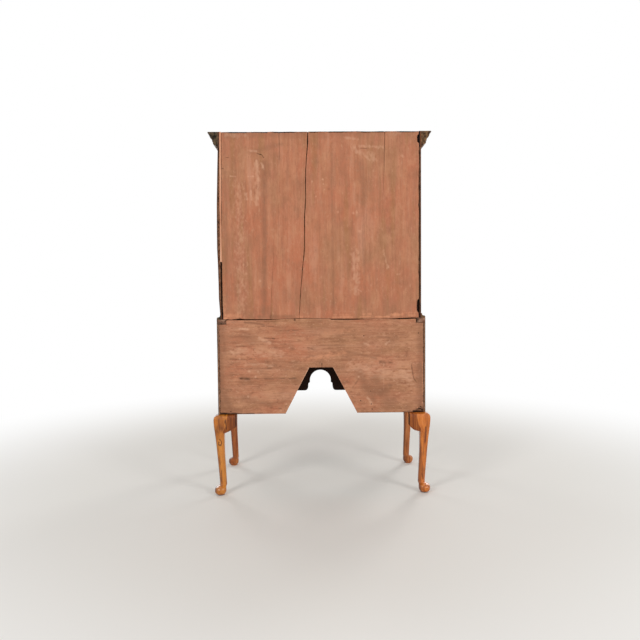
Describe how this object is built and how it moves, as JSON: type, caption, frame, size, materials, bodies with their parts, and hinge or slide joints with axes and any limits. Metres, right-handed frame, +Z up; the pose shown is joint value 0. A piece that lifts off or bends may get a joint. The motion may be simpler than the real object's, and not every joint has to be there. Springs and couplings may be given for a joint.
{
  "type": "highboy",
  "caption": "Chest of drawers on a tall stand with cabriole legs, pad feet, a scalloped apron, a moulded cornice and a plain boarded back.",
  "frame": {"origin": "on the floor, under the middle of the whole piece", "axes": "+Z up, the drawers face -Y, the boarded back faces +Y, +X to the right seen from the front"},
  "size_m": [1.063, 0.5584, 1.7473],
  "materials": {
    "walnut_case": "polished walnut",
    "walnut_legs": "polished honey-coloured walnut",
    "painted_back": "old reddish-brown wash, matt",
    "old_pine": "unfinished old pine",
    "bare_pine": "bare new pine",
    "brass": "aged polished brass"
  },
  "bodies": {
    "stand": {"leg_rear_right": "walnut_legs", "leg_rear_left": "walnut_legs", "leg_front_right": "walnut_legs", "leg_front_left": "walnut_legs", "stand_back": "painted_back", "stand_side_right": "walnut_case", "stand_side_left": "walnut_case", "front_apron": "walnut_case", "stand_top_rail": "walnut_case", "stand_middle_rail": "walnut_case", "stand_partition_right": "old_pine", "stand_partition_left": "old_pine", "waist_moulding_right": "walnut_case", "waist_moulding_left": "walnut_case", "waist_moulding_front": "walnut_case"},
    "upper_case": {"upper_side_right": "walnut_case", "upper_side_left": "walnut_case", "upper_bottom": "walnut_case", "upper_top": "old_pine", "upper_frieze": "walnut_case", "upper_rail_1": "walnut_case", "upper_rail_2": "walnut_case", "upper_rail_3": "walnut_case", "back_board_1": "painted_back", "back_board_2": "painted_back", "back_board_3": "painted_back", "back_board_4": "painted_back", "back_edge_strip": "bare_pine", "cornice_right": "walnut_case", "cornice_left": "walnut_case", "cornice_front": "walnut_case"},
    "stand_long_drawer_bail_left": {"stand_long_drawer_bail_left": "brass"},
    "stand_long_drawer_bail_right": {"stand_long_drawer_bail_right": "brass"},
    "centre_drawer_bail": {"centre_drawer_bail": "brass"},
    "deep_drawer_left_bail": {"deep_drawer_left_bail": "brass"},
    "deep_drawer_right_bail": {"deep_drawer_right_bail": "brass"},
    "upper_drawer_1_bail_left": {"upper_drawer_1_bail_left": "brass"},
    "upper_drawer_1_bail_right": {"upper_drawer_1_bail_right": "brass"},
    "upper_drawer_2_bail_left": {"upper_drawer_2_bail_left": "brass"},
    "upper_drawer_2_bail_right": {"upper_drawer_2_bail_right": "brass"},
    "upper_drawer_3_bail_left": {"upper_drawer_3_bail_left": "brass"},
    "upper_drawer_3_bail_right": {"upper_drawer_3_bail_right": "brass"},
    "upper_drawer_4_bail_left": {"upper_drawer_4_bail_left": "brass"},
    "upper_drawer_4_bail_right": {"upper_drawer_4_bail_right": "brass"},
    "upper_drawer_1": {"upper_drawer_1_front": "walnut_case", "upper_drawer_1_box": "old_pine"},
    "upper_drawer_2": {"upper_drawer_2_front": "walnut_case", "upper_drawer_2_box": "old_pine"},
    "upper_drawer_3": {"upper_drawer_3_front": "walnut_case", "upper_drawer_3_box": "old_pine"},
    "upper_drawer_4": {"upper_drawer_4_front": "walnut_case", "upper_drawer_4_box": "old_pine"},
    "stand_long_drawer": {"stand_long_drawer_front": "walnut_case", "stand_long_drawer_box": "old_pine"},
    "deep_drawer_left": {"deep_drawer_left_front": "walnut_case", "deep_drawer_left_box": "old_pine"},
    "centre_drawer": {"centre_drawer_front": "walnut_case", "centre_drawer_box": "old_pine"},
    "deep_drawer_right": {"deep_drawer_right_front": "walnut_case", "deep_drawer_right_box": "old_pine"}
  },
  "joints": [
    {"name": "upper_case_lift", "type": "slide", "parent": "stand", "child": "upper_case", "axis": [0, 0, 1], "range_m": [0, 0.06]},
    {"name": "upper_drawer_1_slide", "type": "slide", "parent": "upper_case", "child": "upper_drawer_1", "axis": [0, -1, 0], "range_m": [0, 0.34]},
    {"name": "upper_drawer_2_slide", "type": "slide", "parent": "upper_case", "child": "upper_drawer_2", "axis": [0, -1, 0], "range_m": [0, 0.34]},
    {"name": "upper_drawer_3_slide", "type": "slide", "parent": "upper_case", "child": "upper_drawer_3", "axis": [0, -1, 0], "range_m": [0, 0.34]},
    {"name": "upper_drawer_4_slide", "type": "slide", "parent": "upper_case", "child": "upper_drawer_4", "axis": [0, -1, 0], "range_m": [0, 0.34]},
    {"name": "stand_long_drawer_slide", "type": "slide", "parent": "stand", "child": "stand_long_drawer", "axis": [0, -1, 0], "range_m": [0, 0.34]},
    {"name": "deep_drawer_left_slide", "type": "slide", "parent": "stand", "child": "deep_drawer_left", "axis": [0, -1, 0], "range_m": [0, 0.34]},
    {"name": "centre_drawer_slide", "type": "slide", "parent": "stand", "child": "centre_drawer", "axis": [0, -1, 0], "range_m": [0, 0.34]},
    {"name": "deep_drawer_right_slide", "type": "slide", "parent": "stand", "child": "deep_drawer_right", "axis": [0, -1, 0], "range_m": [0, 0.34]},
    {"name": "stand_long_drawer_bail_left_hinge", "type": "hinge", "parent": "stand_long_drawer", "child": "stand_long_drawer_bail_left", "pos_m": [-0.28427, -0.27375, 0.7918], "axis": [-1, 0, 0], "range_deg": [-15, 195]},
    {"name": "stand_long_drawer_bail_right_hinge", "type": "hinge", "parent": "stand_long_drawer", "child": "stand_long_drawer_bail_right", "pos_m": [0.28427, -0.27375, 0.7918], "axis": [-1, 0, 0], "range_deg": [-15, 195]},
    {"name": "centre_drawer_bail_hinge", "type": "hinge", "parent": "centre_drawer", "child": "centre_drawer_bail", "pos_m": [0, -0.27375, 0.6764], "axis": [-1, 0, 0], "range_deg": [-15, 195]},
    {"name": "deep_drawer_left_bail_hinge", "type": "hinge", "parent": "deep_drawer_left", "child": "deep_drawer_left_bail", "pos_m": [-0.3135, -0.27375, 0.6239], "axis": [-1, 0, 0], "range_deg": [-15, 195]},
    {"name": "deep_drawer_right_bail_hinge", "type": "hinge", "parent": "deep_drawer_right", "child": "deep_drawer_right_bail", "pos_m": [0.3135, -0.27375, 0.6239], "axis": [-1, 0, 0], "range_deg": [-15, 195]},
    {"name": "upper_drawer_1_bail_left_hinge", "type": "hinge", "parent": "upper_drawer_1", "child": "upper_drawer_1_bail_left", "pos_m": [-0.2883, -0.25325, 1.01326], "axis": [-1, 0, 0], "range_deg": [-15, 195]},
    {"name": "upper_drawer_1_bail_right_hinge", "type": "hinge", "parent": "upper_drawer_1", "child": "upper_drawer_1_bail_right", "pos_m": [0.2883, -0.25325, 1.01326], "axis": [-1, 0, 0], "range_deg": [-15, 195]},
    {"name": "upper_drawer_2_bail_left_hinge", "type": "hinge", "parent": "upper_drawer_2", "child": "upper_drawer_2_bail_left", "pos_m": [-0.2883, -0.25325, 1.22934], "axis": [-1, 0, 0], "range_deg": [-15, 195]},
    {"name": "upper_drawer_2_bail_right_hinge", "type": "hinge", "parent": "upper_drawer_2", "child": "upper_drawer_2_bail_right", "pos_m": [0.2883, -0.25325, 1.22934], "axis": [-1, 0, 0], "range_deg": [-15, 195]},
    {"name": "upper_drawer_3_bail_left_hinge", "type": "hinge", "parent": "upper_drawer_3", "child": "upper_drawer_3_bail_left", "pos_m": [-0.2883, -0.25325, 1.42258], "axis": [-1, 0, 0], "range_deg": [-15, 195]},
    {"name": "upper_drawer_3_bail_right_hinge", "type": "hinge", "parent": "upper_drawer_3", "child": "upper_drawer_3_bail_right", "pos_m": [0.2883, -0.25325, 1.42258], "axis": [-1, 0, 0], "range_deg": [-15, 195]},
    {"name": "upper_drawer_4_bail_left_hinge", "type": "hinge", "parent": "upper_drawer_4", "child": "upper_drawer_4_bail_left", "pos_m": [-0.2883, -0.25325, 1.59266], "axis": [-1, 0, 0], "range_deg": [-15, 195]},
    {"name": "upper_drawer_4_bail_right_hinge", "type": "hinge", "parent": "upper_drawer_4", "child": "upper_drawer_4_bail_right", "pos_m": [0.2883, -0.25325, 1.59266], "axis": [-1, 0, 0], "range_deg": [-15, 195]}
  ]
}
